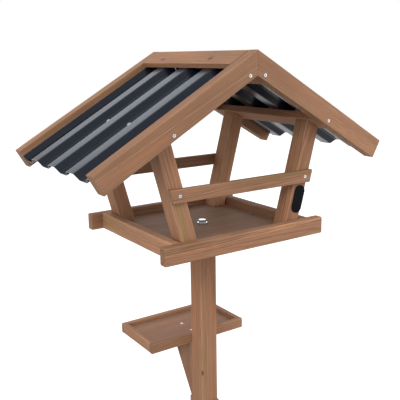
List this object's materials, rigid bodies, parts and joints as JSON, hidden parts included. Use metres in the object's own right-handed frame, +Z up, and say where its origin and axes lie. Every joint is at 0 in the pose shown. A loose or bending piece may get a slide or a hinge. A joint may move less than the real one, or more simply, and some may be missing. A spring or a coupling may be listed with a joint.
{
  "type": "bird table",
  "caption": "Roofed feeding tray on a square timber post with a cross foot, leaning roof posts, ribbed metal roof sheets and a small open shelf behind the post.",
  "frame": {"origin": "on the ground under the middle of the stand post, at the crossing of the two foot boards", "axes": "+Z up, +X to the right along the front gable, +Y from the front gable to the rear, where the shelf is"},
  "size_m": [0.7326, 0.6, 1.4135],
  "materials": {
    "timber": "brown stained softwood, matt",
    "panel": "dark brown stained panel, matt",
    "dowel": "plain beech",
    "roof_metal": "anthracite coil coating, satin",
    "zinc": "bright zinc plated",
    "badge": "black, plain"
  },
  "bodies": {
    "root": {"badge": "badge", "base_screws": "zinc", "batten_lower_left": "timber", "batten_lower_right": "timber", "batten_upper_left": "timber", "batten_upper_right": "timber", "bolt_washer": "zinc", "brace_front": "timber", "brace_left": "timber", "brace_rear": "timber", "brace_right": "timber", "brace_screws": "zinc", "bracket_screws": "zinc", "floor_screws": "zinc", "foot_across": "timber", "foot_along": "timber", "post_foot_screws": "zinc", "post_front_left": "timber", "post_front_right": "timber", "post_rear_left": "timber", "post_rear_right": "timber", "post_top_screws": "zinc", "rafter_front_left": "timber", "rafter_front_right": "timber", "rafter_rear_left": "timber", "rafter_rear_right": "timber", "rafter_screws": "zinc", "rail_front": "timber", "rail_rear": "timber", "rail_screws": "zinc", "ridge_board_left": "timber", "ridge_board_right": "timber", "ridge_screws": "zinc", "roof_sheet_left": "roof_metal", "roof_sheet_right": "roof_metal", "sheet_screws": "zinc", "shelf_bracket": "timber", "shelf_floor": "panel", "shelf_front_board": "timber", "shelf_left_board": "timber", "shelf_rear_board": "timber", "shelf_right_board": "timber", "shelf_screws": "zinc", "splice_plate_front": "timber", "splice_plate_rear": "timber", "splice_screws": "zinc", "stand_bolt": "zinc", "stand_post_lower": "timber", "stand_post_upper": "timber", "tray_bearer": "timber", "tray_dowels": "dowel", "tray_floor": "panel", "tray_front_board": "timber", "tray_left_board": "timber", "tray_rear_board": "timber", "tray_right_board": "timber"}
  },
  "joints": []
}
